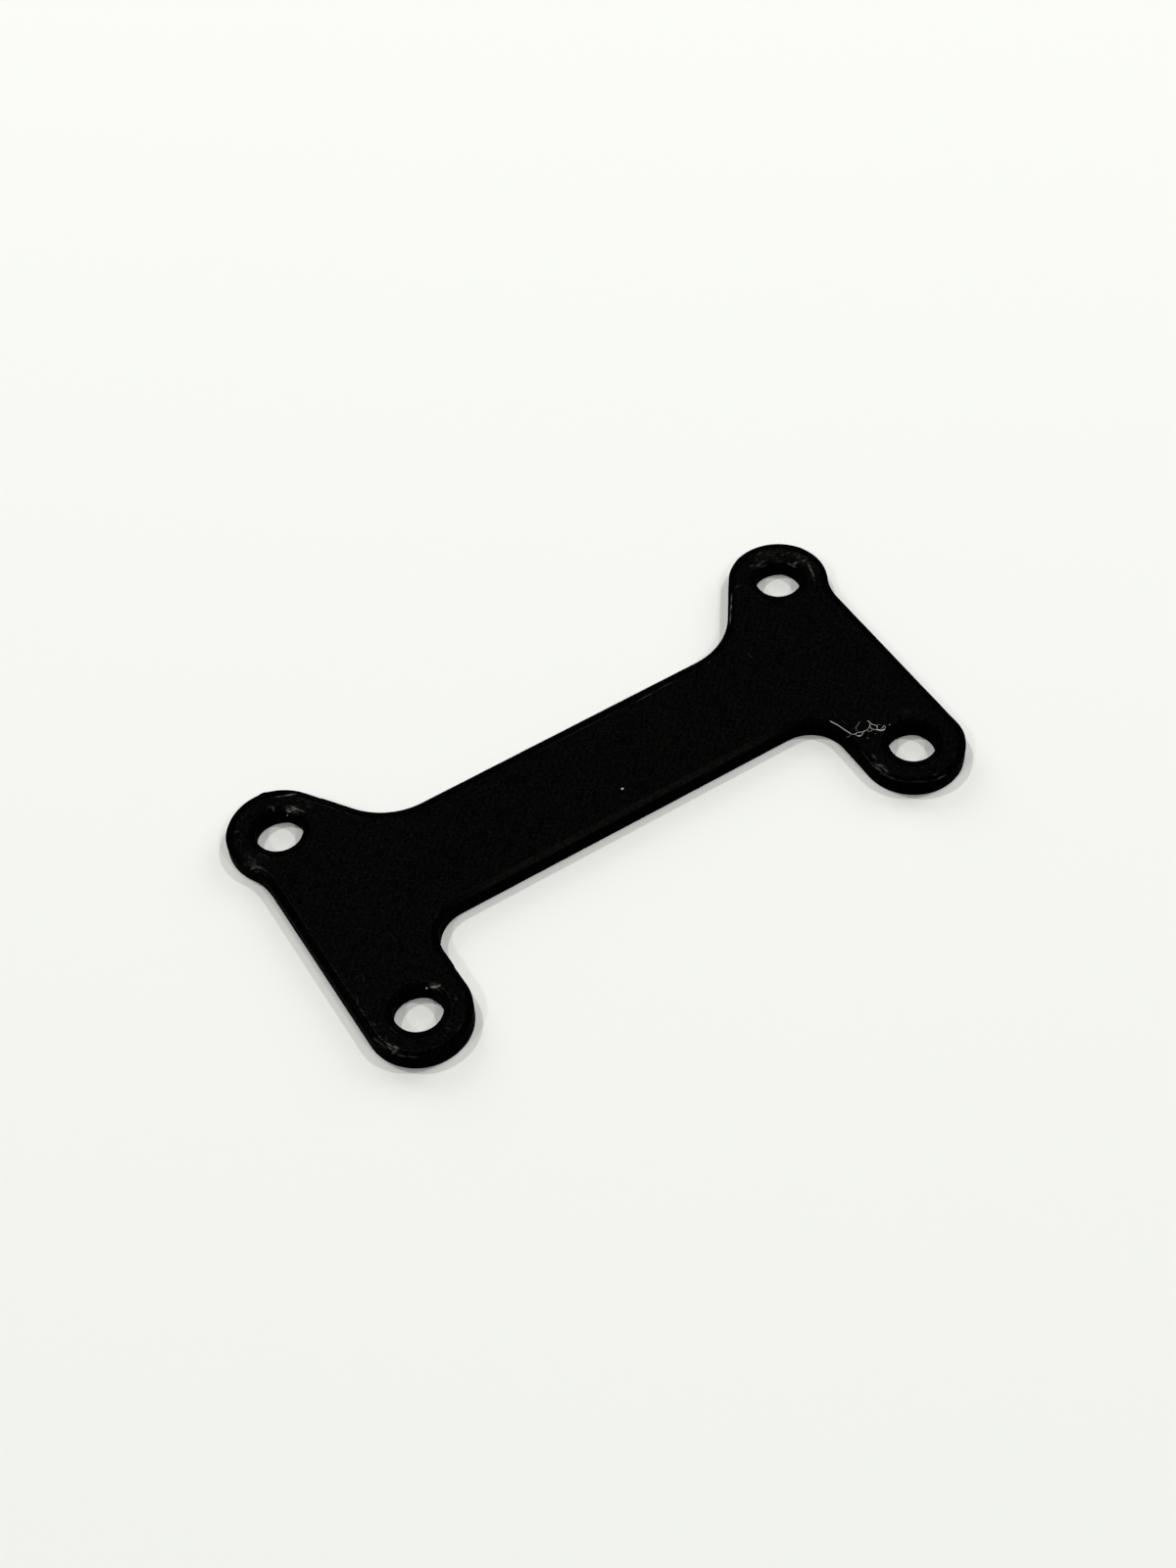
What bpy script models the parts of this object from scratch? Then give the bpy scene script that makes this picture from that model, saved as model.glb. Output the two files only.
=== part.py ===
"""Flat display bracket: a black plate with four screw ears, made as one piece.

Units are metres, +Z is up. The plate lies flat on its lower face, and the origin is on that face
at the centre of the four screw holes. +X runs along the plate, and +Y points to the pair of ears
that stands wider apart.
"""
import math

import bmesh
import bpy

# Screw holes: two rows along X, the upper row a little wider than the lower one.
lower_hole_pitch = 0.0650
upper_ear_offset = 0.0017        # how much further out each upper hole is than the lower one
hole_row_spacing = 0.0295
hole_diameter = 0.0055

# Plate and ears: every ear is a round end about its own hole.
plate_thickness = 0.0021
ear_radius = 0.00595
upper_edge_below_holes = 0.00555  # upper hole row down to the bar's upper edge
lower_edge_above_holes = 0.00955  # lower hole row up to the bar's lower edge
upper_ear_slant = math.radians(55)  # inner side of an upper ear, from the X axis

# Blends between the ears and the straight edges.
upper_notch_radius = 0.0086
lower_notch_radius = 0.0046
end_blend_radius = 0.0063

# Rounding of the rims of both faces, as a printed plate has it.
rim_radius = 0.00015
rim_steps = 2

# Fineness of the round stretches.
arc_step = math.radians(5)
hole_sides = 48


def clear_scene():
    for item in list(bpy.data.objects):
        bpy.data.objects.remove(item, do_unlink=True)


def arc(centre, radius, start, end):
    """Points along an arc, both ends included. Angles are in radians."""
    steps = max(2, math.ceil(abs(end - start) / arc_step))
    points = []
    for i in range(steps + 1):
        angle = start + (end - start) * i / steps
        x = centre[0] + radius * math.cos(angle)
        y = centre[1] + radius * math.sin(angle)
        points.append((x, y))
    return points


def upper_hole():
    return (lower_hole_pitch / 2 + upper_ear_offset, hole_row_spacing / 2)


def lower_hole():
    return (lower_hole_pitch / 2, -hole_row_spacing / 2)


def lower_ear_outline():
    """From the bar's lower edge, down the ear's inner side and round its end to the plate's end."""
    hole_x, hole_y = lower_hole()
    bar_lower_edge = hole_y + lower_edge_above_holes
    inner_side = hole_x - ear_radius
    blend_centre = (inner_side - lower_notch_radius, bar_lower_edge - lower_notch_radius)
    blend = arc(blend_centre, lower_notch_radius, math.pi / 2, 0)
    round_end = arc((hole_x, hole_y), ear_radius, math.pi, 2 * math.pi)
    return blend + round_end


def upper_ear_outline():
    """From the plate's straight end, out round the ear and down its slanted inner side to the bar."""
    hole_x, hole_y = upper_hole()
    plate_end = lower_hole()[0] + ear_radius

    # The hollow blend touches both the straight end and the ear's round end.
    blend_x = plate_end + end_blend_radius
    reach = ear_radius + end_blend_radius
    blend_y = hole_y - math.sqrt(reach ** 2 - (blend_x - hole_x) ** 2)
    touch_angle = math.atan2(blend_y - hole_y, blend_x - hole_x)
    end_blend = arc((blend_x, blend_y), end_blend_radius, math.pi, math.pi + touch_angle)

    # The slanted side leaves the round end on a tangent.
    leave_angle = math.pi / 2 + upper_ear_slant
    round_end = arc((hole_x, hole_y), ear_radius, touch_angle, leave_angle)

    # The notch blend lies between the slanted side and the bar's upper edge.
    bar_upper_edge = hole_y - upper_edge_below_holes
    notch_y = bar_upper_edge + upper_notch_radius
    along_normal = ear_radius + upper_notch_radius
    start_x = hole_x + along_normal * math.cos(leave_angle)
    start_y = hole_y + along_normal * math.sin(leave_angle)
    slide = (notch_y - start_y) / math.sin(upper_ear_slant)
    notch_x = start_x + slide * math.cos(upper_ear_slant)
    notch_blend = arc(
        (notch_x, notch_y), upper_notch_radius, upper_ear_slant - math.pi / 2, -math.pi / 2
    )
    return end_blend + round_end + notch_blend


def plate_outline():
    """The closed outline: the right half from bottom to top, then its mirror image."""
    right = lower_ear_outline() + upper_ear_outline()
    left = [(-x, y) for x, y in reversed(right)]
    return right + left


def hole_outlines():
    outlines = []
    for hole_x, hole_y in (lower_hole(), upper_hole()):
        for side in (-1, 1):
            turn = 2 * math.pi / hole_sides
            centre_x = side * hole_x
            outline = [
                (
                    centre_x + hole_diameter / 2 * math.cos(i * turn),
                    hole_y + hole_diameter / 2 * math.sin(i * turn),
                )
                for i in range(hole_sides)
            ]
            outlines.append(outline)
    return outlines


def flat_curve(name, outlines, thickness):
    """A filled 2D curve of closed outlines, extruded to the thickness and standing on z = 0."""
    curve = bpy.data.curves.new(name, "CURVE")
    curve.dimensions = "2D"
    curve.fill_mode = "BOTH"
    curve.extrude = thickness / 2
    for outline in outlines:
        spline = curve.splines.new("POLY")
        spline.points.add(len(outline) - 1)
        spline.use_cyclic_u = True
        for point, (x, y) in zip(spline.points, outline):
            point.co = (x, y, 0, 1)
    item = bpy.data.objects.new(name, curve)
    item.location.z = thickness / 2
    bpy.context.scene.collection.objects.link(item)
    return item


def curve_to_solid(curve_object, name, collection):
    """One closed mesh from an extruded curve, with its loose caps welded on."""
    bpy.context.view_layer.update()
    evaluated = curve_object.evaluated_get(bpy.context.evaluated_depsgraph_get())
    mesh = bpy.data.meshes.new_from_object(evaluated)
    mesh.name = name
    solid = bmesh.new()
    solid.from_mesh(mesh)
    bmesh.ops.remove_doubles(solid, verts=solid.verts, dist=0.00001)
    bmesh.ops.recalc_face_normals(solid, faces=solid.faces)
    solid.to_mesh(mesh)
    solid.free()
    item = bpy.data.objects.new(name, mesh)
    item.matrix_world = curve_object.matrix_world.copy()
    collection.objects.link(item)
    bpy.data.objects.remove(curve_object, do_unlink=True)
    return item


def round_rims(item):
    bevel = item.modifiers.new("rounded_rims", "BEVEL")
    bevel.width = rim_radius
    bevel.segments = rim_steps
    bevel.limit_method = "ANGLE"
    bevel.angle_limit = math.radians(60)
    bevel.loop_slide = False


def black_plastic():
    """Matte black printed plastic."""
    material = bpy.data.materials.new("black_printed_plastic")
    material.use_nodes = True
    shader = material.node_tree.nodes["Principled BSDF"]
    shader.inputs["Base Color"].default_value = (0.006, 0.006, 0.006, 1)
    shader.inputs["Roughness"].default_value = 0.6
    shader.inputs["Metallic"].default_value = 0
    return material


def make_plate(collection):
    outlines = [plate_outline()] + hole_outlines()
    curve_object = flat_curve("plate_outline", outlines, plate_thickness)
    plate = curve_to_solid(curve_object, "bracket_plate", collection)
    round_rims(plate)
    plate.data.materials.clear()
    plate.data.materials.append(black_plastic())
    plate.data.shade_smooth()
    plate.data.set_sharp_from_angle(angle=math.radians(30))


def main():
    clear_scene()
    collection = bpy.data.collections.new("display_bracket")
    bpy.context.scene.collection.children.link(collection)
    make_plate(collection)


main()
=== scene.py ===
"""Looks of a flat, black, 3-D printed display bracket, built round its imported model.

The plate's printed surface is worked out in millimetres and written in metres: laid beads along
every edge, zigzag lines across both faces and the layers on the walls.
"""
import math
from types import SimpleNamespace

import bmesh
import bpy
import numpy as np
from mathutils import Matrix, Vector, noise
from mathutils.geometry import delaunay_2d_cdt


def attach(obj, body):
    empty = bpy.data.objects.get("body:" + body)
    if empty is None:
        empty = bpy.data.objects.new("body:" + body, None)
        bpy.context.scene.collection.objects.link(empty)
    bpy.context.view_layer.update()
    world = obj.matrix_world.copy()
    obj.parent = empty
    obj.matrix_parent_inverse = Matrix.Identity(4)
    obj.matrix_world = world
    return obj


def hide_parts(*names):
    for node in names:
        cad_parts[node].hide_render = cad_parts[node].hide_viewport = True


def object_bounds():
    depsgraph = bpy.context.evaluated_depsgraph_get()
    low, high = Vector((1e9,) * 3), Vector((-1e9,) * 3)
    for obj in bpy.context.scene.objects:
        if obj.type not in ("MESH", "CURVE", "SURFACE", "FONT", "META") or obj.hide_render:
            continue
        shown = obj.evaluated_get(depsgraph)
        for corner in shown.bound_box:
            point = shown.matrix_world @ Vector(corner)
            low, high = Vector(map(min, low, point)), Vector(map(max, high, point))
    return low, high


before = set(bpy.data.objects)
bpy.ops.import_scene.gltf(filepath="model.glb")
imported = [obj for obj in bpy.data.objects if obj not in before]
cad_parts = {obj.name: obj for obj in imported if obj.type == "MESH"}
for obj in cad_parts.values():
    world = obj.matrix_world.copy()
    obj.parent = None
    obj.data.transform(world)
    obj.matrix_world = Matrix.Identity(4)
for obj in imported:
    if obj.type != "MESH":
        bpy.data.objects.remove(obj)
cad_low, cad_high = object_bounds()

MM = 0.001

# Parts of the plate, by the place of their material in its list.
LINE, WALL, BEAD = 0, 1, 2

# Outline of the plate in millimetres: two rows of screw holes, each with a round ear about it.
lower_hole_pitch = 65.0
upper_ear_offset = 1.7
hole_row_spacing = 29.5
hole_radius = 2.75
ear_radius = 5.95
upper_edge_below_holes = 5.55
lower_edge_above_holes = 9.55
upper_ear_slant = math.radians(55)
upper_notch_radius = 8.6
lower_notch_radius = 4.6
end_blend_radius = 6.3
plate_thickness = (cad_high.z - cad_low.z) / MM

# Fineness of the mesh, in millimetres.
edge_sample = 0.36
hole_samples = 64
line_sample = 2.0
shortest_line = 0.1
weld_distance = 0.001
merge_distance = 0.0001
thread_sides = 8
thread_steps = 6        # samples from one stop of a thread's route to the next

# Printed layers and laid lines, in millimetres.
first_layer = 0.3
layer_height = 0.2
layer_groove = 0.03
bead_width = 0.405
bead_groove = 0.03
line_pitch = 0.358
line_groove = 0.013
line_gap = 0.028        # depth of the groove between the beads and the ends of the lines
line_angle = math.radians(45)
line_turn = 0.14        # how much of a line its turn into the next one takes up
bed_bead_width = 0.42
bed_line_pitch = 0.42
bed_groove = 0.012
top_rim = 0.04
bed_rim = 0.03
edge_stand = 0.055      # how far the laid edge stands outside the plain outline
edge_fall = 0.012       # how much lower the outermost bead lies than the middle of the face
edge_fall_width = 1.0

# Unevenness of the laid plastic: waves per mm, and how far they move the edges, the tops of the
# beads and the lines, in mm.
slow_waves = 0.35
fast_waves = 1.6
line_waves = 0.5
slow_shift = 0.012
fast_shift = 0.008
slow_lift = 0.006
fast_lift = 0.004
line_lift = 0.005
layer_step = 7.3        # distance in the noise from one layer to the next
line_step = 3.1         # the same from line to line
fast_layers = 40        # how many layers away the fast waves are taken from

# Height of a laid bead across its width, from groove to groove.
bead_shape = ((0.06, 0.1), (0.2, 0.5), (0.4, 0.8), (0.65, 0.98), (0.82, 0.9), (0.94, 0.4))
line_shape = ((0.0, 0.0), (0.1, 0.55), (0.3, 0.97), (0.7, 0.97), (0.9, 0.55))
bed_line_shape = ((0.0, 0.0), (0.12, 1.0), (0.88, 1.0))
bed_bead_shape = (0.88, 1.12, 1.88)

# How far in the wall lies at shares of a layer's height, from the top of the layer down.
layer_shape = ((0.8, 0.007), (0.5, 0.0), (0.2, 0.007), (0.0, layer_groove))
first_layer_shape = ((0.75, 0.004), (0.5, 0.0))

# How the lines of each face are laid. Level is the face's height, and sign is 1 for the top and -1
# for the underside.
top_laying = SimpleNamespace(
    angle=line_angle,
    pitch=line_pitch,
    shape=line_shape,
    level=plate_thickness,
    groove=line_groove,
    gap=line_gap,
    sign=1,
)
bed_laying = SimpleNamespace(
    angle=-line_angle,
    pitch=bed_line_pitch,
    shape=bed_line_shape,
    level=0.0,
    groove=bed_groove,
    gap=bed_groove,
    sign=-1,
)

upper_hole = np.array((lower_hole_pitch / 2 + upper_ear_offset, hole_row_spacing / 2))
lower_hole = np.array((lower_hole_pitch / 2, -hole_row_spacing / 2))
mirror = np.array((-1, 1))

# How far the laid edge of each hole stands into it, in mm.
hole_stands = (
    (lower_hole, 0.025),
    (upper_hole, 0.02),
    (lower_hole * mirror, -0.01),
    (upper_hole * mirror, -0.005),
)

# Small unevenness of the edge: hole, direction from it and half-width in degrees, height in mm.
edge_marks = (
    (upper_hole * mirror, 81, 4, 0.14),
    (upper_hole * mirror, 52, 18, -0.05),
    (upper_hole * mirror, 15, 18, -0.05),
    (upper_hole * mirror, 158, 16, 0.06),
    (upper_hole * mirror, 212, 30, -0.06),
    (lower_hole * mirror, 14, 22, -0.08),
    (lower_hole * mirror, 335, 18, -0.045),
    (lower_hole * mirror, 285, 20, -0.035),
    (lower_hole, 302, 8, 0.045),
    (lower_hole, 320, 6, 0.05),
    (lower_hole, 340, 15, 0.11),
    (upper_hole, 176, 22, 0.06),
    (upper_hole, 29, 5, 0.04),
    (upper_hole, 110, 5, 0.04),
    (upper_hole, 60, 70, 0.025),
)
mark_reach = 0.5        # how far outside the ear's radius its marks can lie

# Unevenness of the first layer round each hole: direction and half-width in degrees, reach in mm.
squeeze_marks = ((78, 20, 0.05), (42, 12, -0.06), (132, 16, -0.07))

# Loose threads beside the lower right hole: radius, how many others each one lies on, and its route
# from the hole's centre, in mm.
threads = (
    (0.048, 0, ((-6, 7.9), (-5.85, 7.45), (-5.6, 6.85), (-5.4, 6.05), (-5.2, 5.3), (-5.05, 4.75))),
    (0.031, 0, ((-5.1, 4.85), (-4.7, 4.65), (-4.3, 4.65), (-3.9, 4.45), (-3.55, 4.4), (-3.1, 4.4))),
    (0.022, 0, ((-3.15, 4.4), (-2.8, 4.55), (-2.55, 4.75), (-2.4, 5))),
    (0.025, 0, ((-4.7, 4.6), (-4.65, 4.3), (-4.5, 4.1), (-4.2, 4.1), (-3.9, 4.25), (-3.75, 4.35))),
    (0.01, 1, ((-4.25, 4.75), (-4.15, 5.3), (-3.95, 5.45), (-3.45, 5.7), (-3, 5.85))),
    (0.036, 1, (
        (-2.5, 5.4), (-2.35, 5.3), (-2.35, 4.8), (-2.25, 4.6), (-2.05, 4.35), (-2, 4.1),
        (-2.15, 3.8),
    )),
    (0.027, 0, ((-2.55, 4.85), (-2.65, 4.55), (-2.7, 4.25), (-2.55, 4), (-2.35, 3.85))),
    (0.073, 0, ((-2.4, 3.9), (-2.15, 3.6), (-1.95, 3.4), (-1.7, 3.3), (-1.4, 3.35))),
    (0.021, 1, ((-1.85, 3.65), (-1.55, 3.65), (-1.2, 3.8), (-1.25, 3.55), (-1.4, 3.35))),
    (0.009, 0, ((-2, 4.35), (-1.65, 4.25), (-1.4, 4.15))),
    (0.013, 1, ((-3.2, 4.35), (-3.2, 4.1), (-2.95, 4), (-2.7, 4))),
)
thread_rest = 0.6       # height of a thread's middle over the top face, in radii
thread_stack = 1.6      # what each thread under it adds, in radii

# Crumbs: what each one's place is measured from, the place with its height from the top face, and
# its size, in mm. Two hang on the holes' walls.
plate_middle = np.zeros(2)
crumbs = (
    (plate_middle, (1.3, -1.9, 0), 0.18),
    (lower_hole, (-4.5, 4.15, 0), 0.12),
    (lower_hole, (-3.85, 3.35, 0), 0.05),
    (lower_hole, (-2.75, 3.4, 0), 0.04),
    (lower_hole, (-0.65, 3.55, 0), 0.06),
    (upper_hole * mirror, (1.92, 1.8, -0.4), 0.09),
    (lower_hole * mirror, (2.1, 1.85, -0.05), 0.1),
)
crumb_form = (1, 0.75, 0.5)
crumb_rest = 0.35       # height of a crumb's middle, in sizes
crumb_roughness = 0.25

# The painted highlight along the bar's lower edge, a paler band, in mm: how far inside the edge its
# middle is, its half-width, how wide it fades out, and how far from the plate's middle its fading
# starts and ends.
lit_edge_inset = 0.4
lit_edge_half_width = 0.3
lit_edge_fade = 0.3
lit_edge_reach = 16
lit_edge_end = 24
lit_edge_strength = 0.025

# Places on the rings round the holes where faint highlights are painted in streaks: hole, direction
# in degrees, distance, half-length along the ring and half-width across it in mm, and strength.
ring_highlight_places = (
    (upper_hole * mirror, 32, 3.4, 1.4, 0.8, 0.25),
    (upper_hole * mirror, 25, 4.8, 1.3, 0.6, 0.06),
    (upper_hole * mirror, 205, 4.9, 2.0, 1.2, 0.11),
    (upper_hole * mirror, 212, 3.9, 1.0, 0.5, 0.05),
    (upper_hole, 15, 4.6, 2.4, 0.8, 0.2),
    (upper_hole, 70, 4.6, 3.0, 0.8, 0.12),
    (upper_hole, 55, 3.3, 2.4, 0.6, 0.13),
    (upper_hole, 100, 3.5, 1.4, 0.6, 0.24),
    (lower_hole * mirror, 28, 3.4, 0.9, 0.6, 0.35),
    (lower_hole * mirror, 206, 5.3, 1.8, 0.9, 0.09),
    (lower_hole, 191, 5.3, 1.5, 0.8, 0.24),
    (lower_hole, 60, 4.6, 1.6, 0.8, 0.07),
)

# Pale strokes on the printed rings: most are painted highlights on the beads, a few are pale marks
# on
# the plastic. For each hole: both ends of a stroke from the hole's centre and its half-width in mm,
# and how strong it looks.
highlight_and_mark_strokes = (
    (upper_hole * mirror, (
        ((1.75, 4.7), (2.9, 4.2), 0.12, 0.45),
        ((2.65, 4.3), (4.15, 3.7), 0.14, 1.05),
        ((1, 3.65), (0.85, 2.95), 0.17, 0.4),
        ((0.6, 3.85), (0.9, 3.5), 0.15, 0.21),
        ((2.1, 2.7), (2.7, 2.5), 0.15, 0.26),
        ((2.75, 2.45), (3.3, 1.45), 0.15, 1.3),
        ((3.25, 1.55), (3.7, 0.85), 0.14, 0.4),
        ((2.05, 2.35), (2.65, 2.15), 0.14, 0.7),
        ((2.6, 2.2), (2.9, 1.55), 0.12, 1.05),
        ((2.1, 2.05), (2.45, 1.75), 0.17, 1.3),
        ((2.55, 1.55), (3.05, 1.1), 0.15, 0.18),
        ((-4.9, -2.55), (-4.15, -2.6), 0.22, 0.18),
        ((-5, -2.95), (-4.4, -2.95), 0.22, 0.45),
        ((-4.4, -2.8), (-3.9, -3.6), 0.22, 0.35),
        ((-4.1, -3.15), (-3.65, -4.3), 0.17, 0.13),
        ((-4.85, -3.4), (-4.4, -3.85), 0.15, 0.15),
        ((-4.45, -1.15), (-4.35, -1.75), 0.2, 0.15),
        ((-4.15, -1.85), (-4.15, -2.45), 0.22, 0.12),
        ((-3.5, -1.5), (-3.3, -2.2), 0.18, 0.06),
        ((-2.8, -2.1), (-2.75, -2.75), 0.2, 0.07),
        ((-5.35, -1.65), (-5.15, -2.35), 0.15, 0.07),
        ((-4.2, -4.15), (-3.85, -4.85), 0.15, 0.07),
        ((-2.6, 4.4), (-2.75, 3.85), 0.17, 0.05),
        ((-4.25, 2.7), (-3.85, 2.65), 0.15, 0.25),
        ((-4.4, 1.7), (-4.1, 1.1), 0.11, 0.08),
        ((3.5, 2.95), (4.4, 2.5), 0.15, 0.05),
        ((4.45, 2.1), (4.9, 1.3), 0.15, 0.07),
        ((4.3, 1.55), (4.6, 0.9), 0.15, 0.11),
    )),
    (upper_hole, (
        ((4.55, 0.2), (4.3, -0.7), 0.2, 0.5),
        ((4.3, -0.6), (4.1, -1.4), 0.21, 0.65),
        ((4.15, -1.25), (3.85, -2.1), 0.18, 0.45),
        ((3.65, -2.2), (3.5, -2.75), 0.15, 0.14),
        ((2.85, 1), (3.6, 1.15), 0.22, 0.55),
        ((2.5, 1.65), (2.8, 1), 0.15, 0.5),
        ((2.65, 0.85), (3.05, 0.55), 0.14, 0.45),
        ((4.1, 0.9), (4.7, 0.85), 0.2, 0.4),
        ((3.85, 1.7), (4.6, 1.55), 0.15, 0.14),
        ((4.85, 1.5), (4.95, 0.95), 0.14, 0.05),
        ((-0.9, 3.35), (-0.3, 3.35), 0.17, 0.45),
        ((-1.65, 3.75), (-1, 3.75), 0.15, 0.28),
        ((-0.15, 3.55), (0.55, 3.5), 0.17, 0.27),
        ((0.25, 4.95), (1.05, 4.9), 0.17, 0.23),
        ((0.95, 4.2), (2.25, 3.5), 0.1, 0.12),
        ((1.5, 2.9), (2.4, 2), 0.14, 0.11),
        ((2.5, 3.15), (3.15, 3.15), 0.17, 0.15),
        ((3.3, 3), (3.75, 3), 0.18, 0.17),
        ((3.8, 2.35), (4.5, 2.4), 0.22, 0.1),
        ((-0.6, 4.2), (0.05, 4.25), 0.14, 0.17),
        ((1.75, 4.75), (2.2, 4.35), 0.15, 0.02),
        ((-5.05, 1.9), (-4.3, 1.85), 0.18, 0.13),
        ((-0.65, 2.95), (0.25, 2.8), 0.14, 0.25),
        ((5.3, -0.6), (4.8, -1.8), 0.15, 0.06),
        ((-5.85, 1.4), (-6.95, -0.1), 0.09, 0.8),
        ((-6.8, 0), (-7.7, -1.05), 0.09, 1.45),
        ((-7.6, -1), (-8.9, -2.75), 0.09, 0.9),
        ((-9.65, -7.7), (-9.75, -8.1), 0.08, 0.17),
        ((-9.75, -8), (-9.6, -8.55), 0.08, 0.26),
        ((-24.8, -6.6), (-21.8, -6.5), 0.08, 0.4),
        ((-22, -6.5), (-18.9, -6.4), 0.08, 0.24),
        ((-38.4, -6.5), (-25, -6.5), 0.1, 0.08),
    )),
    (lower_hole * mirror, (
        ((-4.8, -1.75), (-4.45, -2.6), 0.15, 0.65),
        ((-4.9, -2.2), (-4.6, -3), 0.14, 0.5),
        ((-4.3, -2.65), (-4.1, -2.95), 0.22, 0.95),
        ((-4.8, -3.2), (-4.25, -3.1), 0.22, 0.6),
        ((-5.65, -0.5), (-5.5, -1.15), 0.17, 0.15),
        ((-5.5, -1.5), (-5.1, -2.05), 0.18, 0.05),
        ((-4.4, -0.85), (-4.65, -1.6), 0.15, 0.07),
        ((-4.5, -3.6), (-3.9, -4.35), 0.2, 0.2),
        ((-3.75, -4.35), (-2.8, -5.2), 0.15, 0.14),
        ((-4.8, 1.15), (-4.7, 0.8), 0.18, 0.15),
        ((-4.4, 0.65), (-4, 0.75), 0.15, 0.07),
        ((-5.25, 3.5), (-4.9, 2.9), 0.11, 0.18),
        ((1.3, -3.55), (1.75, -4.05), 0.15, 0.1),
        ((2.05, -3.15), (2.15, -3.4), 0.15, 0.04),
        ((-0.5, -3.9), (0.2, -3.85), 0.15, 0.02),
        ((0.8, -4.25), (0.8, -4.6), 0.15, 0.08),
        ((-3.85, 7.05), (-3.6, 7.35), 0.08, 0.2),
        ((-3.65, 7.35), (-3, 7.25), 0.08, 0.07),
        ((-3, 7.3), (-2.85, 6.9), 0.08, 0.13),
        ((-2.85, 6.95), (-3.25, 6.2), 0.08, 0.18),
        ((2.55, 1.75), (3.15, 1.35), 0.2, 1.9),
        ((3.1, 1.4), (3.55, 1.4), 0.16, 0.85),
        ((2.9, 2.15), (3.25, 1.6), 0.08, 0.3),
        ((-4.65, 5.25), (-5.05, 3.9), 0.1, 0.15),
        ((4.15, -0.9), (4, -1.25), 0.13, 0.2),
    )),
    (lower_hole, (
        ((-4.85, 1.15), (-4.85, 0.4), 0.17, 0.4),
        ((-5.55, 1.85), (-5.65, 0.4), 0.12, 0.15),
        ((-5.7, 0.45), (-5.65, -0.35), 0.12, 0.19),
        ((-5.7, -0.25), (-5.35, -1.5), 0.14, 0.65),
        ((-5.25, -0.35), (-4.8, -0.95), 0.17, 0.7),
        ((-5, -1), (-4.85, -1.9), 0.13, 0.75),
        ((-5.7, -1.35), (-5.25, -2.35), 0.14, 0.21),
        ((-5.35, -2.25), (-4.75, -3.3), 0.15, 0.21),
        ((-4.8, -3.25), (-3.95, -4.25), 0.14, 0.1),
        ((-4, -4.15), (-1.45, -5.85), 0.14, 0.09),
        ((-1.5, -5.75), (-0.85, -6), 0.15, 0.2),
        ((-1, -5.85), (0.3, -5.9), 0.14, 0.4),
        ((-0.95, -5.1), (-0.35, -5.25), 0.15, 0.14),
        ((-5.5, 2.45), (-5.55, 1.6), 0.15, 0.07),
        ((-6.3, 6.7), (-6.05, 5.7), 0.09, 0.11),
        ((-4.8, 7.4), (-4.7, 6.4), 0.1, 0.11),
        ((-5.85, 4.8), (-5.15, 4.8), 0.09, 0.65),
    )),
)

# The black plastic in linear light: its brightest grain and its gloss on the laid lines and on the
# beads, whose darker grain is painted shade, the walls' tone, darker as painted shade, and their
# gloss, and the pale tone of the painted highlights and the few pale marks.
line_grain = 0.0036
line_gloss = 0.035
bead_grain = 0.0016
bead_gloss = 0.005
wall_tone = 0.0001
wall_gloss = 0.002
highlight_and_mark_tone = (0.13, 0.13, 0.115, 1)

# Textures, in waves per metre: the grain, the uneven strokes and lit edge, the gloss and the bumps.
grain_scale = 4500
stroke_scale = 4200
lit_edge_scale = 2500
gloss_scale = 900
bump_scale = 2600
thread_scale = 2500

# The streaks of the painted highlights on the rings: waves per radian round a hole and per metre
# across its rings, and how far apart in the noise the holes lie, per metre.
streaks_round = 16.0
streaks_across = 6000.0
streaks_apart = 90.0

floor_tone = (0.935, 0.945, 0.905, 1)
floor_size = 1
floor_drop = 0.00002    # how far the floor lies under the plate, in metres


def unit(angle):
    return np.array((math.cos(angle), math.sin(angle)))


def line_points(start, end):
    """Samples from start up to, but without, end, with the direction out of the plate."""
    step = np.subtract(end, start)
    length = np.linalg.norm(step)
    count = max(1, round(length / edge_sample))
    points = start + step * np.arange(count)[:, None] / count
    outward = np.array((step[1], -step[0])) / length
    return points, np.tile(outward, (count, 1))


def arc_points(centre, radius, start, end, side=1):
    """Samples of an arc without its end. Side is 1 where the plate bulges and -1 in a hollow."""
    count = max(2, round(abs(end - start) * radius / edge_sample))
    angles = start + (end - start) * np.arange(count) / count
    spokes = np.stack((np.cos(angles), np.sin(angles)), axis=1)
    return centre + radius * spokes, spokes * side


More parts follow.
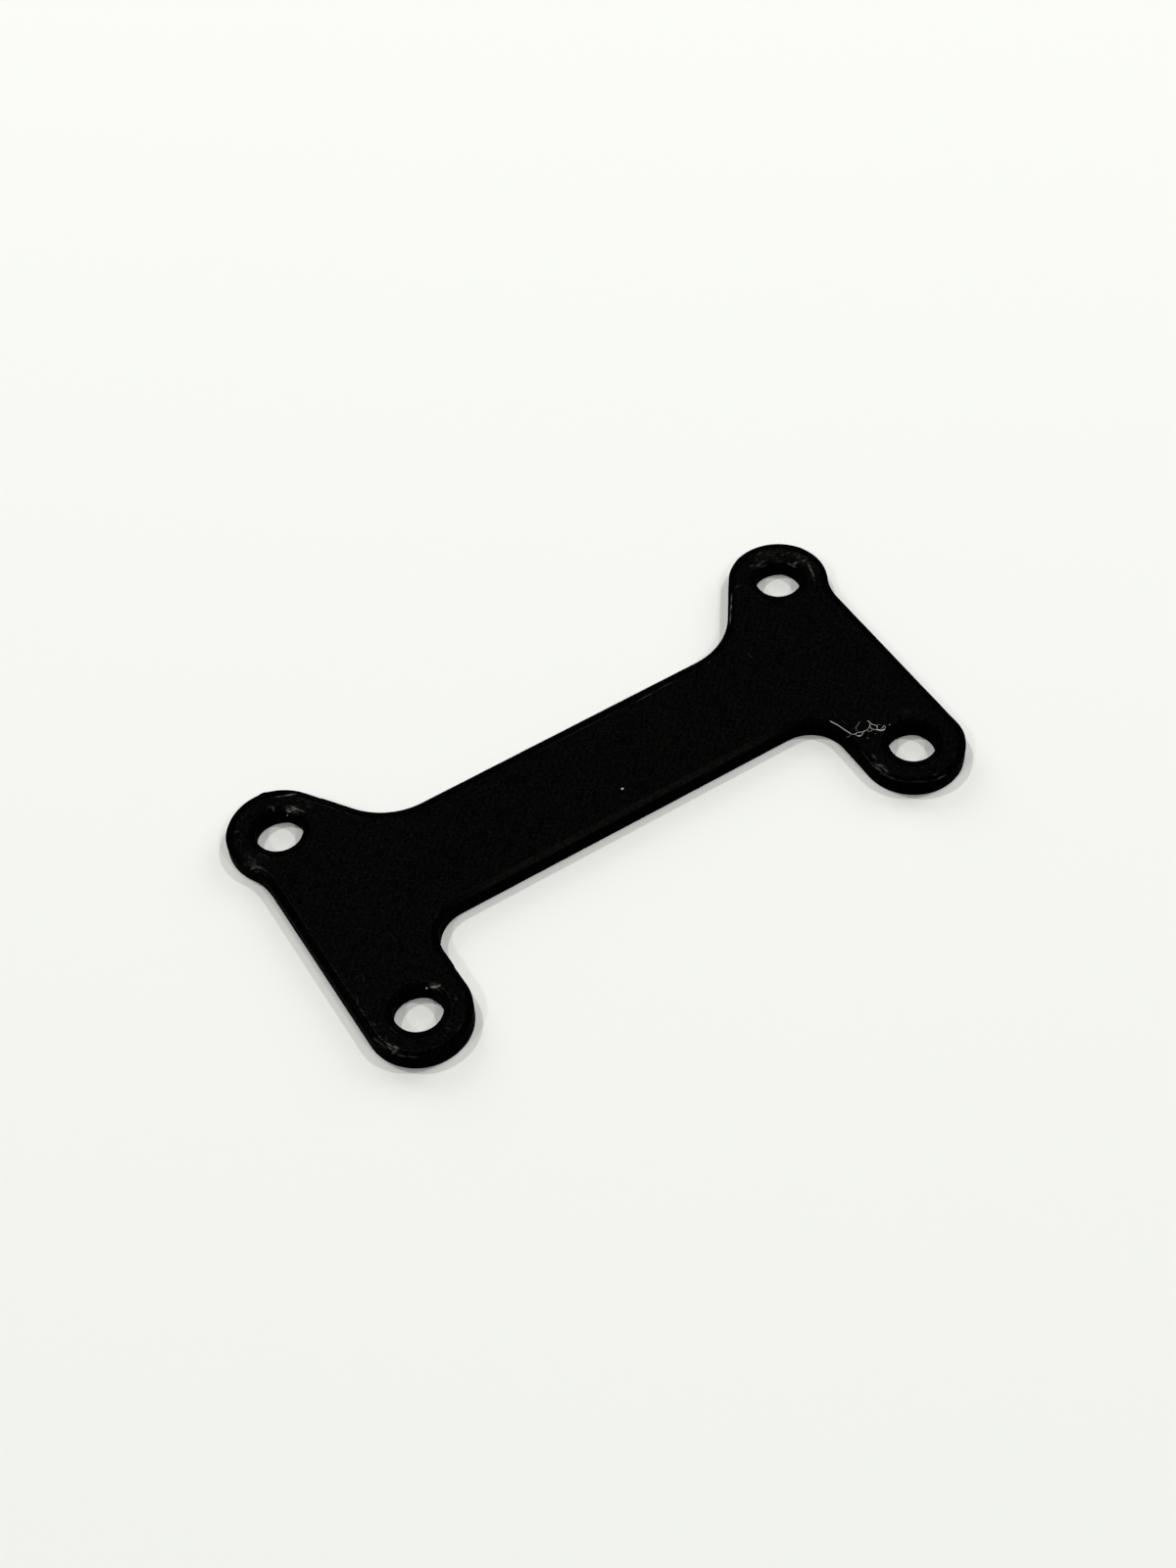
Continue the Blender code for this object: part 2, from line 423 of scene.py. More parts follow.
def right_half():
    """The outline's right half from the bar's lower edge, round both ears, to its upper edge."""
    bar_lower = lower_hole[1] + lower_edge_above_holes
    bar_upper = upper_hole[1] - upper_edge_below_holes
    inner_side = lower_hole[0] - ear_radius
    plate_end = lower_hole[0] + ear_radius

    lower_notch = np.array((inner_side - lower_notch_radius, bar_lower - lower_notch_radius))
    end_blend_x = plate_end + end_blend_radius
    reach = ear_radius + end_blend_radius
    drop = math.sqrt(reach ** 2 - (end_blend_x - upper_hole[0]) ** 2)
    end_blend = np.array((end_blend_x, upper_hole[1] - drop))
    touch = math.atan2(end_blend[1] - upper_hole[1], end_blend[0] - upper_hole[0])

    leave = math.pi / 2 + upper_ear_slant
    beside = upper_hole + (ear_radius + upper_notch_radius) * unit(leave)
    slide = (bar_upper + upper_notch_radius - beside[1]) / math.sin(upper_ear_slant)
    upper_notch = beside + slide * unit(upper_ear_slant)
    slant_start = upper_hole + ear_radius * unit(leave)
    slant_end = upper_notch - upper_notch_radius * unit(leave)
    notch_start = upper_ear_slant - math.pi / 2

    pieces = [
        line_points((0, bar_lower), (lower_notch[0], bar_lower)),
        arc_points(lower_notch, lower_notch_radius, math.pi / 2, 0, -1),
        line_points((inner_side, lower_notch[1]), (inner_side, lower_hole[1])),
        arc_points(lower_hole, ear_radius, math.pi, 2 * math.pi),
        line_points((plate_end, lower_hole[1]), (plate_end, end_blend[1])),
        arc_points(end_blend, end_blend_radius, math.pi, math.pi + touch, -1),
        arc_points(upper_hole, ear_radius, touch, leave),
        line_points(slant_start, slant_end),
        arc_points(upper_notch, upper_notch_radius, notch_start, -math.pi / 2, -1),
        line_points((upper_notch[0], bar_upper), (0, bar_upper)),
    ]
    points = np.concatenate([piece[0] for piece in pieces] + [[(0, bar_upper)]])
    outwards = np.concatenate([piece[1] for piece in pieces] + [[(0, 1)]])
    return points, outwards


def plate_edge():
    """The whole outline, anticlockwise, with the direction out of the plate at each point."""
    points, outwards = right_half()
    left_points = points[-2:0:-1] * mirror
    left_outwards = outwards[-2:0:-1] * mirror
    return np.concatenate((points, left_points)), np.concatenate((outwards, left_outwards))


def hole_edge(centre):
    """A screw hole's edge, clockwise. Out of the plate is towards the hole's centre."""
    angles = -2 * math.pi * np.arange(hole_samples) / hole_samples
    spokes = np.stack((np.cos(angles), np.sin(angles)), axis=1)
    return centre + hole_radius * spokes, -spokes


def hole_squeeze(points, centre):
    """How far the first layer is squeezed into a hole at each point, in mm."""
    spokes = points - centre
    direction = np.degrees(np.arctan2(spokes[:, 1], spokes[:, 0]))
    squeeze = np.zeros(len(points))
    for middle, half_width, reach in squeeze_marks:
        away = (direction - middle + 180) % 360 - 180
        squeeze += reach * np.exp(-((away / half_width) ** 2))
    return squeeze


def edge_swell(points):
    """How far the edge stands out at each point because of the small marks on it, in mm."""
    swell = np.zeros(len(points))
    for centre, direction, half_width, height in edge_marks:
        spokes = points - centre
        away = np.degrees(np.arctan2(spokes[:, 1], spokes[:, 0])) - direction
        away = (away + 180) % 360 - 180
        near = np.linalg.norm(spokes, axis=1) < ear_radius + mark_reach
        swell += height * np.exp(-((away / half_width) ** 2)) * near
    return swell


def waver(points, waves, layer):
    """Smooth unevenness between about -1 and 1, different for each layer."""
    depth = layer * layer_step
    return np.array([noise.noise((x * waves, y * waves, depth)) for x, y in points])


def top_fall(inset):
    """How far the top face drops towards an edge."""
    return edge_fall * max(0.0, 1 - inset / edge_fall_width) ** 2


def wall_rows():
    """The section of an edge as (inset, height, layer), from the top beads to the underside."""
    rows = []
    top = plate_thickness
    rim_end = top_rim * 1.3
    for bead in (1, 0):
        for share, rise in reversed(bead_shape):
            inset = (bead + share) * bead_width
            if inset > rim_end:
                rows.append((inset, top - top_fall(inset) - bead_groove * (1 - rise), -1))
        if bead:
            inset = bead * bead_width
            rows.append((inset, top - top_fall(inset) - bead_groove, -1))

    rim_top = top - edge_fall
    for degrees in (0, 30, 60, 90):
        turn = math.radians(degrees)
        inset = top_rim * (1 - math.sin(turn))
        rows.append((inset, rim_top - top_rim * (1 - math.cos(turn)), 0))

    layers = round((top - first_layer) / layer_height)
    for layer in range(layers):
        upper = top - layer * layer_height
        # The upper part of the top layer is its rounded rim.
        shape = layer_shape if layer else layer_shape[2:]
        for share, inset in shape:
            rows.append((inset, upper - layer_height * (1 - share), layer))
    for share, inset in first_layer_shape:
        rows.append((inset, first_layer * share, layers))
    for degrees in (0, 45, 90):
        turn = math.radians(degrees)
        inset = bed_rim * (1 - math.cos(turn))
        rows.append((inset, bed_rim * (1 - math.sin(turn)), layers))

    first_end, second_start, second_end = [share * bed_bead_width for share in bed_bead_shape]
    rows.append((first_end, 0.0, -1))
    rows.append((bed_bead_width, bed_groove, -1))
    rows.append((second_start, 0.0, -1))
    rows.append((second_end, 0.0, -1))
    return rows


def edge_strip(points, outwards, rows, swell, squeeze):
    """Rings of points, one for each row of the section, as an array (row, point, xyz) in mm."""
    slow = {layer: waver(points, slow_waves, layer) for layer in {row[2] for row in rows}}
    fast = {layer: waver(points, fast_waves, layer + fast_layers) for layer in slow}
    rings = []
    for inset, height, layer in rows:
        fade = max(0.0, 1 - inset / (2 * bead_width))
        shift = slow_shift * slow[layer] + fast_shift * fast[layer]
        if 0 <= height < first_layer:
            shift = shift + squeeze
        ring = points - outwards * (inset - (swell + shift) * fade)[:, None]
        heights = np.full(len(points), height)
        if layer == -1 and height > first_layer:
            heights = heights + (slow_lift * slow[layer] + fast_lift * fast[layer])
        rings.append(np.column_stack((ring, heights)))
    return np.array(rings)


def section_part(upper, lower):
    """Which part of the plate lies between two neighbouring rows of an edge's section."""
    if upper[2] >= 0 and lower[2] >= 0:
        return WALL
    return BEAD if upper[1] > first_layer else LINE


def strip_faces(rings, start):
    """Quads between neighbouring rings of a closed strip whose first vertex has the index start."""
    row_count, count = rings.shape[:2]
    faces = []
    for row in range(row_count - 1):
        upper = start + row * count
        lower = upper + count
        for i in range(count):
            following = (i + 1) % count
            faces.append((upper + i, lower + i, lower + following, upper + following))
    return faces


def crossings(loops, across, along, offset):
    """Where a line with this offset crosses the loops, as sorted distances along it."""
    found = []
    for loop in loops:
        height = loop @ across - offset
        following = np.roll(height, -1)
        crossed = np.nonzero((height > 0) != (following > 0))[0]
        share = height[crossed] / (height[crossed] - following[crossed])
        reach = loop @ along
        found.extend(reach[crossed] + share * (np.roll(reach, -1)[crossed] - reach[crossed]))
    return sorted(found)


def inside(points, loops):
    """Which points lie inside the first loop and outside the others."""
    result = np.zeros(len(points), bool)
    for loop in loops:
        start, end = loop, np.roll(loop, -1, axis=0)
        for (x0, y0), (x1, y1) in zip(start, end):
            spans = (points[:, 1] < y0) != (points[:, 1] < y1)
            if spans.any():
                cross_x = x0 + (points[spans, 1] - y0) * (x1 - x0) / (y1 - y0)
                result[spans] ^= points[spans, 0] < cross_x
    return result


def laid_face(border_rings, groove_loops, laying):
    """A face of zigzag lines. The border rings are shared with the edge strips, and the groove
    loops, a little further in, are where the lines end."""
    along, across = unit(laying.angle), unit(laying.angle + math.pi / 2)
    groove_level = laying.level - laying.sign * laying.gap
    points = []
    heights = []
    edges = []

    def add_chain(chain, chain_heights, closed):
        first = len(points)
        points.extend(chain)
        heights.extend(chain_heights)
        edges.extend((i, i + 1) for i in range(first, len(points) - 1))
        if closed:
            edges.append((len(points) - 1, first))

    for ring in border_rings:
        add_chain(ring[:, :2], ring[:, 2], True)
    for loop in groove_loops:
        add_chain(loop, np.full(len(loop), groove_level), True)

    reach = max(np.abs(loop @ across).max() for loop in groove_loops)
    line_count = math.ceil(reach / laying.pitch)
    for line in range(-line_count, line_count + 1):
        for share, rise in laying.shape:
            offset = (line + share) * laying.pitch
            ends = crossings(groove_loops, across, along, offset)
            for start, end in zip(ends[::2], ends[1::2]):
                if end - start >= shortest_line:
                    add_chain(*laid_lane(laying, line, offset, rise, start, end), False)

    flat = [Vector(point) for point in points]
    made, _, triangles, origins, _, _ = delaunay_2d_cdt(flat, edges, [], 0, merge_distance)
    made = np.array([tuple(point) for point in made])
    made_heights = [heights[origin[0]] if origin else groove_level for origin in origins]
    triangles = np.array(triangles)
    middles = made[triangles].mean(axis=1)
    kept = triangles[inside(middles, [ring[:, :2] for ring in border_rings])]
    return np.column_stack((made, made_heights)), kept


def laid_lane(laying, line, offset, rise, start, end):
    """One lane of a laid line, as points and their heights. Neighbouring lines are joined in turns
    at alternate ends, where the groove between them stops short."""
    along, across = unit(laying.angle), unit(laying.angle + math.pi / 2)
    groove, gap = laying.groove, laying.gap
    depth = groove * (1 - rise)
    first_step, last_step = math.ceil(start / line_sample), math.floor(end / line_sample)
    grid = np.arange(first_step, last_step + 1) * line_sample
    grid = [reach for reach in grid if start + 2 * line_turn < reach < end - 2 * line_turn]
    joined, open_end = depth * 0.3, depth * 1.2 + groove * 0.25
    start_depth, end_depth = (joined, open_end) if line % 2 == 0 else (open_end, joined)
    reaches = [start, end]
    depths = [gap, gap]
    if end - start > 4 * line_turn:
        half_turn = line_turn / 2
        reaches = [start, start + half_turn, start + line_turn] + grid
        reaches += [end - line_turn, end - half_turn, end]
        depths = [gap, start_depth, depth] + [depth] * len(grid) + [depth, end_depth, gap]
    points = [along * reach + across * offset for reach in reaches]
    heights = []
    for (x, y), low in zip(points, depths):
        uneven = line_lift * noise.noise((x * line_waves, y * line_waves, line * line_step))
        heights.append(laying.level - laying.sign * (low + uneven * (low < gap)))
    return points, heights


def clean_mesh(name, vertices, faces, parts):
    """A closed, smooth-shaded mesh object from vertices in millimetres. Parts says which material
    each face has."""
    mesh = bpy.data.meshes.new(name)
    mesh.from_pydata([tuple(vertex) for vertex in vertices], [], [tuple(face) for face in faces])
    mesh.polygons.foreach_set("material_index", parts)
    form = bmesh.new()
    form.from_mesh(mesh)
    bmesh.ops.remove_doubles(form, verts=form.verts, dist=weld_distance)
    bmesh.ops.scale(form, vec=(MM, MM, MM), verts=form.verts)
    bmesh.ops.recalc_face_normals(form, faces=form.faces)
    form.to_mesh(mesh)
    form.free()
    mesh.shade_smooth()
    item = bpy.data.objects.new(name, mesh)
    bpy.context.scene.collection.objects.link(item)
    return item


def printed_plate():
    """The plate with its laid beads, lines and layers, as one closed mesh."""
    rows = wall_rows()
    outline = plate_edge()
    loops = [outline + (edge_stand + edge_swell(outline[0]), np.zeros(len(outline[0])))]
    for centre, stand in hole_stands:
        points, outwards = hole_edge(centre)
        loops.append((points, outwards, np.full(len(points), stand), hole_squeeze(points, centre)))

    section = [section_part(upper, lower) for upper, lower in zip(rows, rows[1:])]
    vertices = []
    faces = []
    parts = []
    tops = []
    bottoms = []
    for points, outwards, swell, squeeze in loops:
        rings = edge_strip(points, outwards, rows, swell, squeeze)
        faces.extend(strip_faces(rings, len(vertices)))
        parts.extend(np.repeat(section, len(points)).tolist())
        vertices.extend(rings.reshape(-1, 3))
        tops.append(rings[0])
        bottoms.append(rings[-1])

    top_grooves = [points - outwards * 2 * bead_width for points, outwards, _, _ in loops]
    bed_grooves = [points - outwards * 2 * bed_bead_width for points, outwards, _, _ in loops]
    top_face = laid_face(tops, top_grooves, top_laying)
    bed_face = laid_face(bottoms, bed_grooves, bed_laying)
    for face_vertices, triangles in (top_face, bed_face):
        faces.extend((triangles + len(vertices)).tolist())
        parts.extend([LINE] * len(triangles))
        vertices.extend(face_vertices)
    return clean_mesh("printed_plate", vertices, faces, parts)


def smooth_route(stops):
    """Points along a smooth curve through the stops."""
    stops = np.array(stops)
    ends = np.vstack((2 * stops[0] - stops[1], stops, 2 * stops[-1] - stops[-2]))
    points = []
    for before, start, end, after in zip(ends, ends[1:], ends[2:], ends[3:]):
        for share in np.arange(thread_steps) / thread_steps:
            straight = 2 * start + (end - before) * share
            bend = (2 * before - 5 * start + 4 * end - after) * share ** 2
            twist = (3 * start - before - 3 * end + after) * share ** 3
            points.append((straight + bend + twist) / 2)
    return np.array(points + [stops[-1]])


def add_tube(form, route, radius, level):
    """Adds a closed tube along a route on the top face, drawn out to a point at both ends."""
    points = smooth_route(route)
    travel = np.gradient(points, axis=0)
    travel /= np.linalg.norm(travel, axis=1)[:, None]
    thickness = radius * np.minimum(1, np.arange(len(points)) / 3)
    thickness = np.minimum(thickness, thickness[::-1])
    tips = []
    rings = []
    for (x, y), (along_x, along_y), size in zip(points, travel, thickness):
        if size == 0:
            tips.append(form.verts.new((x, y, level)))
            continue
        ring = []
        for side in range(thread_sides):
            turn = 2 * math.pi * side / thread_sides
            aside = size * math.cos(turn)
            corner = (x - along_y * aside, y + along_x * aside, level + size * math.sin(turn))
            ring.append(form.verts.new(corner))
        rings.append(ring)
    for first, second in zip(rings, rings[1:]):
        for side in range(thread_sides):
            following = (side + 1) % thread_sides
            form.faces.new((first[side], first[following], second[following], second[side]))
    for tip, ring in ((tips[0], rings[0]), (tips[1], rings[-1])):
        for side in range(thread_sides):
            form.faces.new((tip, ring[side], ring[(side + 1) % thread_sides]))


def add_crumb(form, origin, place, size):
    """Adds a small flattened crumb. Its height is measured from that of one on the top face."""
    flatten = Matrix.Diagonal([size * share for share in crumb_form] + [1])
    level = plate_thickness + size * crumb_rest
    spot = Matrix.Translation((origin[0] + place[0], origin[1] + place[1], place[2] + level))
    made = bmesh.ops.create_icosphere(form, subdivisions=2, radius=1, matrix=spot @ flatten)
    for vertex in made["verts"]:
        vertex.co += vertex.normal * crumb_roughness * size * noise.noise(vertex.co * 4)


def loose_threads():
    """The fine threads and crumbs on the plate, each one a closed piece."""
    form = bmesh.new()
    for radius, layer, route in threads:
        level = plate_thickness + radius * (thread_rest + thread_stack * layer)
        add_tube(form, np.array(route) + lower_hole, radius, level)
    for origin, place, size in crumbs:
        add_crumb(form, origin, place, size)
    bmesh.ops.recalc_face_normals(form, faces=form.faces)
    bmesh.ops.scale(form, vec=(MM, MM, MM), verts=form.verts)
    mesh = bpy.data.meshes.new("loose_threads")
    form.to_mesh(mesh)
    form.free()
    mesh.shade_smooth()
    item = bpy.data.objects.new("loose_threads", mesh)
    bpy.context.scene.collection.objects.link(item)
    return item


def new_material(name, gloss_level):
    """A material and its shader, with the shader's gloss level set."""
    material = bpy.data.materials.new(name)
    material.use_nodes = True
    shader = material.node_tree.nodes["Principled BSDF"]
    shader.inputs["Specular IOR Level"].default_value = gloss_level
    return material, shader


def add_node(material, kind, **settings):
    """A new shader node with some of its inputs set."""
    node = material.node_tree.nodes.new(kind)
    for name, value in settings.items():
        node.inputs[name.replace("_", " ")].default_value = value
    return node


def noise_of(material, scale, detail):
    """The value of a noise texture over the plate, with its scale in waves per metre."""
    place = add_node(material, "ShaderNodeTexCoord")
    cloud = add_node(material, "ShaderNodeTexNoise", Scale=scale, Detail=detail)
    material.node_tree.links.new(place.outputs["Object"], cloud.inputs["Vector"])
    return cloud.outputs["Fac"]


def toned(material, factor, first, second):
    """A mix of two colours, each of them a colour or another node's socket."""
    links = material.node_tree.links
    mix = add_node(material, "ShaderNodeMix")
    mix.data_type = "RGBA"
    links.new(factor, mix.inputs["Factor"])
    for socket, colour in ((mix.inputs[6], first), (mix.inputs[7], second)):
        if isinstance(colour, tuple):
            socket.default_value = colour
        else:
            links.new(colour, socket)
    return mix.outputs[2]


def ranged(material, value, low, high, to_low, to_high):
    """The value moved from one range to another and held within it."""
    node = add_node(material, "ShaderNodeMapRange", From_Min=low, From_Max=high, To_Min=to_low,
                    To_Max=to_high)
    material.node_tree.links.new(value, node.inputs["Value"])
    return node.outputs["Result"]


def combined(material, operation, first, second):
    """A math node on a socket and either another socket or a number."""
    node = add_node(material, "ShaderNodeMath")
    node.operation = operation
    material.node_tree.links.new(first, node.inputs[0])
    if isinstance(second, float):
        node.inputs[1].default_value = second
    else:
        material.node_tree.links.new(second, node.inputs[1])
    return node.outputs[0]


def soft_oval(material, middle, half_length, half_width, direction):
    """A value that falls from 1 at the middle of an oval to 0 at its edge. Lengths in mm."""
    half_height = 2
    place = add_node(material, "ShaderNodeTexCoord")
    oval = add_node(material, "ShaderNodeMapping")
    oval.vector_type = "TEXTURE"
    centre = Vector((middle[0], middle[1], plate_thickness))
    oval.inputs["Location"].default_value = centre * MM
    oval.inputs["Rotation"].default_value[2] = direction
    oval.inputs["Scale"].default_value = Vector((half_length, half_width, half_height)) * MM
    material.node_tree.links.new(place.outputs["Object"], oval.inputs["Vector"])
    fade = add_node(material, "ShaderNodeTexGradient")
    fade.gradient_type = "SPHERICAL"
    material.node_tree.links.new(oval.outputs["Vector"], fade.inputs["Vector"])
    return fade.outputs["Fac"]


def strongest(material, values):
    """The largest of several weighted values."""
    total = None
    for value, weight in values:
        share = combined(material, "MULTIPLY", value, float(weight))
        total = share if total is None else combined(material, "MAXIMUM", total, share)
    return total


def ring_streaks(material):
    """Noise drawn out along the rings, from the direction round the nearest hole and the distance
    from its centre."""
    links = material.node_tree.links
    place = add_node(material, "ShaderNodeTexCoord")
    parts = add_node(material, "ShaderNodeSeparateXYZ")
    links.new(place.outputs["Object"], parts.inputs[0])
    aside = combined(material, "ABSOLUTE", parts.outputs["X"], 0.0)
    along = combined(material, "ABSOLUTE", parts.outputs["Y"], 0.0)
    upper = combined(material, "GREATER_THAN", parts.outputs["Y"], 0.0)
    outward = combined(material, "MULTIPLY", upper, upper_ear_offset * MM)
    aside = combined(material, "SUBTRACT", aside, outward)
    aside = combined(material, "SUBTRACT", aside, lower_hole_pitch / 2 * MM)
    along = combined(material, "SUBTRACT", along, hole_row_spacing / 2 * MM)
    angle = combined(material, "ARCTAN2", along, aside)
    spoke = add_node(material, "ShaderNodeCombineXYZ")
    links.new(aside, spoke.inputs["X"])
    links.new(along, spoke.inputs["Y"])
    length = add_node(material, "ShaderNodeVectorMath")
    length.operation = "LENGTH"
    links.new(spoke.outputs[0], length.inputs[0])
    stretched = add_node(material, "ShaderNodeCombineXYZ")
    stretches = (
        (angle, streaks_round),
        (length.outputs["Value"], streaks_across),
        (parts.outputs["X"], streaks_apart),
    )
    for (value, scale), socket in zip(stretches, stretched.inputs):
        links.new(combined(material, "MULTIPLY", value, scale), socket)
    cloud = add_node(material, "ShaderNodeTexNoise", Scale=1, Detail=2)
    links.new(stretched.outputs[0], cloud.inputs["Vector"])
    return ranged(material, cloud.outputs["Fac"], 0.48, 0.68, 0.0, 1.0)


def highlight_and_mark_mask(material):
    """How pale each point is: painted highlights in streaks along the rings, the single strokes,
    mostly painted highlights with a few pale marks, and the painted highlight along the bar's lower
    edge.
    """
    places = []
    for hole, direction, distance, half_length, half_width, strength in ring_highlight_places:
        angle = math.radians(direction)
        middle = hole + distance * unit(angle)
        oval = soft_oval(material, middle, half_length, half_width, angle + math.pi / 2)
        places.append((oval, strength))
    streaks = combined(material, "MULTIPLY", strongest(material, places), ring_streaks(material))

    strokes = []
    for hole, hole_strokes in highlight_and_mark_strokes:
        for start, end, half_width, strength in hole_strokes:
            middle = hole + np.add(start, end) / 2
            run = np.subtract(end, start)
            half_length = np.linalg.norm(run) / 2 + half_width
            direction = math.atan2(run[1], run[0])
            oval = soft_oval(material, middle, half_length, half_width, direction)
            strokes.append((oval, strength))
    uneven = ranged(material, noise_of(material, stroke_scale, 2), 0.35, 0.6, 0.5, 1.1)
    strokes = combined(material, "MULTIPLY", strongest(material, strokes), uneven)
    strokes = combined(material, "MAXIMUM", strokes, painted_edge_highlight(material))
    return combined(material, "MAXIMUM", streaks, strokes)


def painted_edge_highlight(material):
    """The faintly paler beads along the bar's lower edge: a painted highlight."""
    place = add_node(material, "ShaderNodeTexCoord")
    parts = add_node(material, "ShaderNodeSeparateXYZ")
    material.node_tree.links.new(place.outputs["Object"], parts.inputs[0])
    edge = lower_hole[1] + lower_edge_above_holes + lit_edge_inset
    across = combined(material, "SUBTRACT", parts.outputs["Y"], edge * MM)
    across = combined(material, "ABSOLUTE", across, 0.0)
    band_end = lit_edge_half_width + lit_edge_fade
    across = ranged(material, across, lit_edge_half_width * MM, band_end * MM, 1.0, 0.0)
    along = combined(material, "ABSOLUTE", parts.outputs["X"], 0.0)
    along = ranged(material, along, lit_edge_reach * MM, lit_edge_end * MM, 1.0, 0.0)
    rough = ranged(material, noise_of(material, lit_edge_scale, 2), 0.35, 0.65, 0.5, 1.5)
    band = combined(material, "MULTIPLY", across, along)
    band = combined(material, "MULTIPLY", band, rough)
    return combined(material, "MULTIPLY", band, lit_edge_strength)


def surface_tone(material):
    """A fine grain, with a faint change of tone from one pair of laid lines to the next, a painted
    sheen.
    A wave texture of scale 1 has 20 waves in 2 pi metres."""
    links = material.node_tree.links
    place = add_node(material, "ShaderNodeTexCoord")
    turned = add_node(material, "ShaderNodeMapping")
    turned.inputs["Rotation"].default_value[2] = math.pi / 2 - line_angle
    links.new(place.outputs["Object"], turned.inputs["Vector"])
    wave_scale = 2 * math.pi / (20 * 2 * line_pitch * MM)
    wave = add_node(material, "ShaderNodeTexWave", Scale=wave_scale, Distortion=2, Detail=3)
    links.new(turned.outputs["Vector"], wave.inputs["Vector"])
    grain = ranged(material, noise_of(material, grain_scale, 2), 0.42, 0.68, 0.0, 0.85)
    pairs = combined(material, "MULTIPLY", wave.outputs["Fac"], 0.15)
    return combined(material, "ADD", grain, pairs)


def soft_gloss(material, low, high):
    """Roughness that varies from place to place."""
    return ranged(material, noise_of(material, gloss_scale, 6), 0.3, 0.7, low, high)


def black_print(name, grain_tone, gloss_level):
    """Black printed plastic: nearly neutral, with a fine grain, painted highlights and a few pale
    marks on the rings, and a soft gloss that varies.
    """
    material, shader = new_material(name, gloss_level)
    links = material.node_tree.links
    brightest = (grain_tone, grain_tone, grain_tone * 0.93, 1)
    black = toned(material, surface_tone(material), (0, 0, 0, 1), brightest)
    # Painted highlights, and a few pale marks, are mixed into the base colour here.
    highlighted_and_marked = toned(material, highlight_and_mark_mask(material), black, highlight_and_mark_tone)
    links.new(highlighted_and_marked, shader.inputs["Base Color"])
    links.new(soft_gloss(material, 0.12, 0.24), shader.inputs["Roughness"])
    bumps = add_node(material, "ShaderNodeBump", Strength=0.5, Distance=0.00001)
    links.new(noise_of(material, bump_scale, 4), bumps.inputs["Height"])
    links.new(bumps.outputs["Normal"], shader.inputs["Normal"])
    return material


def dull_walls():
    """The same plastic on the walls, where the layers' sides are duller, with a darker tone that is
    painted shade.
    """
    material, shader = new_material("black_print_walls", wall_gloss)
    # The walls' near-black tone is painted shade.
    shader.inputs["Base Color"].default_value = (wall_tone, wall_tone, wall_tone, 1)
    material.node_tree.links.new(soft_gloss(material, 0.3, 0.5), shader.inputs["Roughness"])
    return material


def pale_thread():
    """Thin drawn plastic, given a pale, uneven colour."""
    material, shader = new_material("pale_thread", 0.3)
    shader.inputs["Roughness"].default_value = 0.5
    cloud = noise_of(material, thread_scale, 2)
    tone = toned(material, cloud, (0.3, 0.3, 0.28, 1), (0.68, 0.68, 0.65, 1))
    material.node_tree.links.new(tone, shader.inputs["Base Color"])
    return material


def white_floor():
    """The plain pale floor, just under the plate."""
    bpy.ops.mesh.primitive_plane_add(size=floor_size, location=(0, 0, -floor_drop))
    floor = bpy.context.object
    floor.name = "floor"
    material, shader = new_material("floor_white", 0)
    shader.inputs["Base Color"].default_value = floor_tone
    shader.inputs["Roughness"].default_value = 0.9
    floor.data.materials.append(material)


# Lamps: angle from straight up and direction round it in degrees, and share of the floor's light.
lamp_distance = 1.2
lamp_size = 0.06
panel_size = 0.8
lamps = (
    ("lamp_far_left", lamp_size, 26.5, 113, 0.20),
    ("lamp_right", lamp_size, 28.5, 355, 0.175),
    ("lamp_near", lamp_size, 38, 283, 0.085),
    ("lamp_left", lamp_size, 40, 193, 0.09),
    ("lamp_above", lamp_size, 6.5, 53, 0.06),
    ("panel_far", panel_size, 66, 90, 0.13),
    ("panel_right", panel_size, 62, 10, 0.13),
)
ambient_share = 0.14


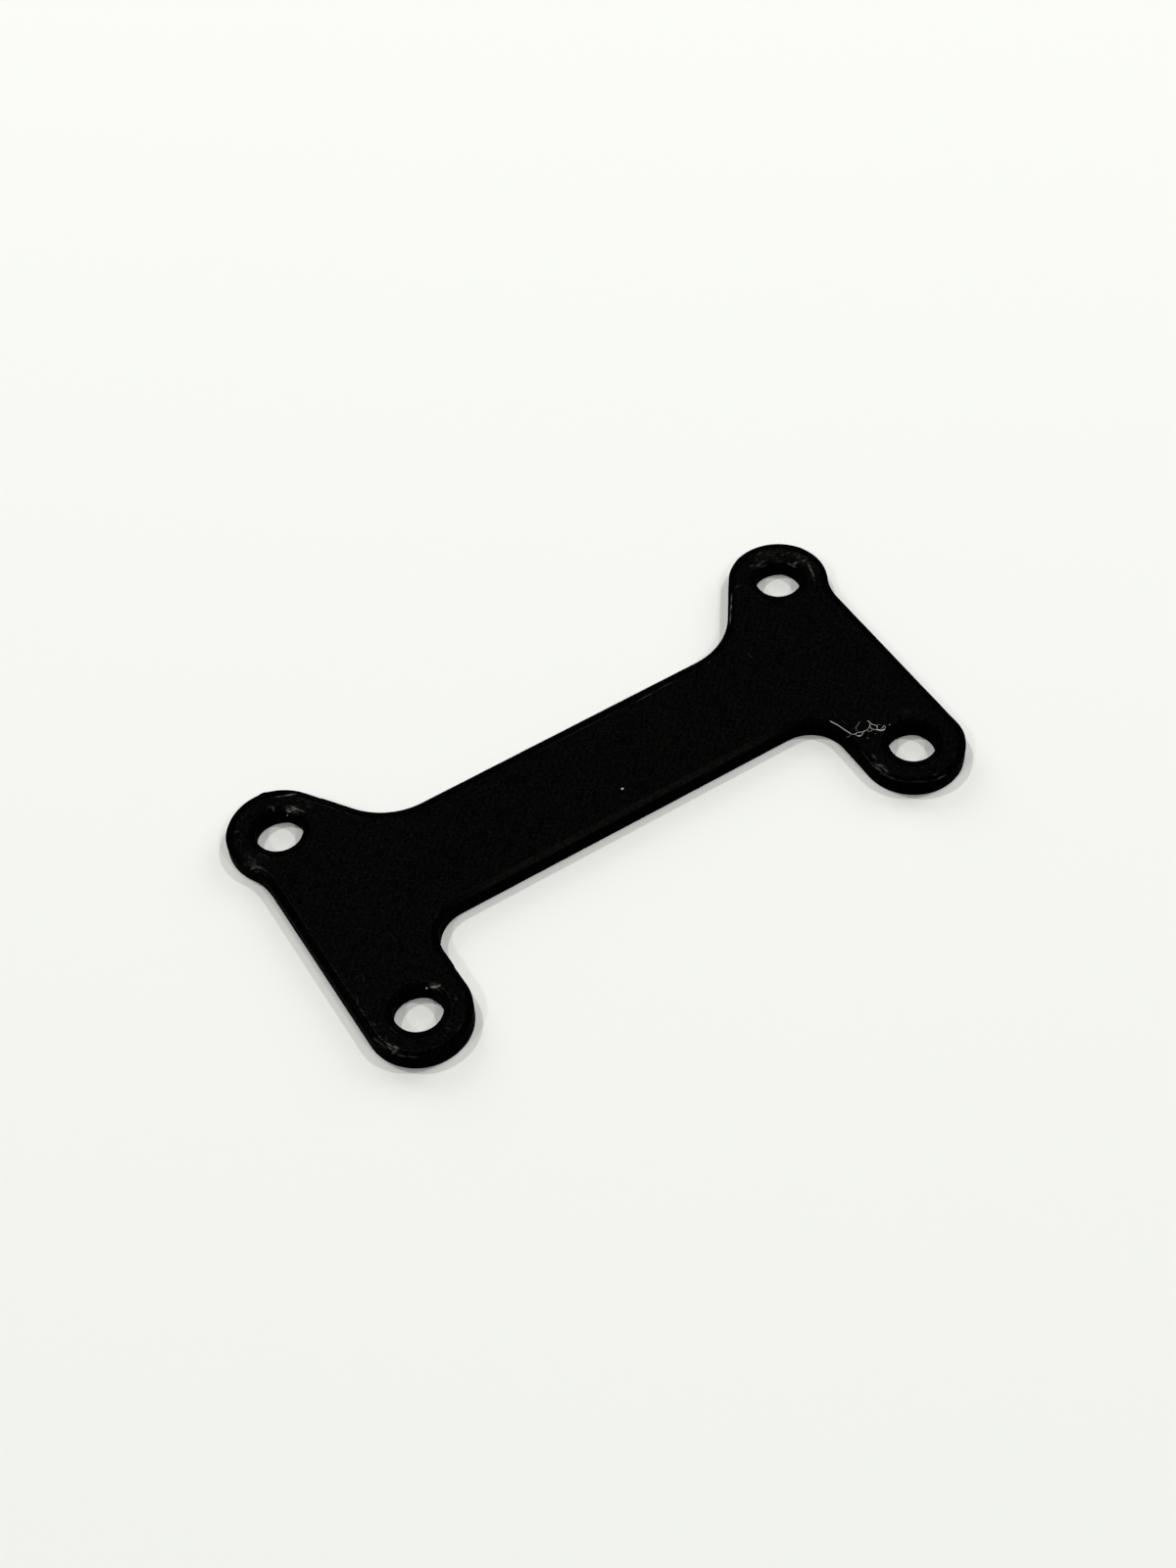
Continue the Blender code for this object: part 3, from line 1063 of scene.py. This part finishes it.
def add_lamps():
    for name, size, tilt, direction, share in lamps:
        lamp = bpy.data.lights.new(name, "AREA")
        lamp.shape = "DISK"
        lamp.size = size
        lean = math.cos(math.radians(tilt))
        lamp.energy = share * math.pi ** 2 * lamp_distance ** 2 / lean
        item = bpy.data.objects.new(name, lamp)
        flat = unit(math.radians(direction)) * math.sin(math.radians(tilt))
        item.location = Vector((flat[0], flat[1], lean)) * lamp_distance
        item.rotation_euler = item.location.to_track_quat("Z", "Y").to_euler()
        item.visible_glossy = size < panel_size
        bpy.context.scene.collection.objects.link(item)


def add_world():
    """Even light from all round, with a pale background where the camera sees past the floor."""
    world = bpy.data.worlds.new("pale_room")
    world.use_nodes = True
    bpy.context.scene.world = world
    nodes = world.node_tree.nodes
    links = world.node_tree.links
    room = nodes["Background"]
    room.inputs["Color"].default_value = (1, 1, 0.98, 1)
    room.inputs["Strength"].default_value = ambient_share
    backdrop = nodes.new("ShaderNodeBackground")
    backdrop.inputs["Color"].default_value = floor_tone
    backdrop.inputs["Strength"].default_value = 1
    path = nodes.new("ShaderNodeLightPath")
    mix = nodes.new("ShaderNodeMixShader")
    links.new(path.outputs["Is Camera Ray"], mix.inputs[0])
    links.new(room.outputs[0], mix.inputs[1])
    links.new(backdrop.outputs[0], mix.inputs[2])
    links.new(mix.outputs[0], nodes["World Output"].inputs["Surface"])


def add_camera():
    distance = 0.26035
    direction = math.radians(242.27)
    elevation = math.radians(52.19)
    roll = math.radians(-4.94)
    aim = Vector((-0.000798, 0.002381, 0))
    back = Vector((
        math.cos(direction) * math.cos(elevation),
        math.sin(direction) * math.cos(elevation),
        math.sin(elevation),
    ))
    camera = bpy.data.cameras.new("camera")
    camera.lens = 51.893
    camera.sensor_width = 36
    camera.clip_start = 0.01
    item = bpy.data.objects.new("camera", camera)
    item.location = aim + back * distance
    level = back.to_track_quat("Z", "Y").to_matrix().to_4x4()
    item.rotation_euler = (level @ Matrix.Rotation(roll, 4, "Z")).to_euler()
    bpy.context.scene.collection.objects.link(item)
    bpy.context.scene.camera = item


plate = printed_plate()
plate.data.materials.append(black_print("black_print", line_grain, line_gloss))
plate.data.materials.append(dull_walls())
# The beads' grain is darker than the lines': painted shade.
plate.data.materials.append(black_print("black_print_beads", bead_grain, bead_gloss))
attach(plate, "root")
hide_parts("bracket_plate")

loose = loose_threads()
loose.data.materials.append(pale_thread())
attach(loose, "root")

white_floor()
add_lamps()
add_world()
add_camera()
bpy.context.scene.view_settings.view_transform = "Standard"
